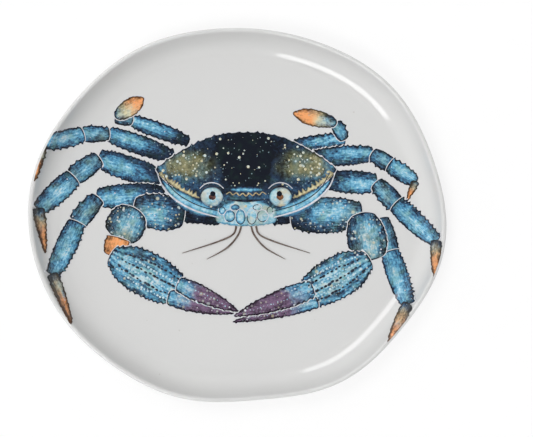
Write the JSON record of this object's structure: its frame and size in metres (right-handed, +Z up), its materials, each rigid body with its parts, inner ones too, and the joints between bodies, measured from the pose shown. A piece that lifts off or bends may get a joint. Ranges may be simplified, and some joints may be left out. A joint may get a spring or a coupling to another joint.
{
  "type": "oval serving plate",
  "caption": "Oval serving plate of white glazed stoneware with a wavy hand-cut edge, an upturned wall and a blue crab printed across its well.",
  "frame": {"origin": "on the surface that the plate stands on, under the middle of its length and width", "axes": "+X along the oval's long way, +Y towards the back edge, which the top of the printed crab faces, +Z up out of the well"},
  "size_m": [0.3372, 0.3016, 0.0244],
  "materials": {
    "glaze": "smooth glossy off-white glaze, soft grey where the wall turns up",
    "crab_print": "printed colours under the same glossy glaze: navy, mid blue, pale blue, olive, orange tips and violet claw fingers"
  },
  "bodies": {
    "root": {"plate": "glaze"}
  },
  "joints": []
}
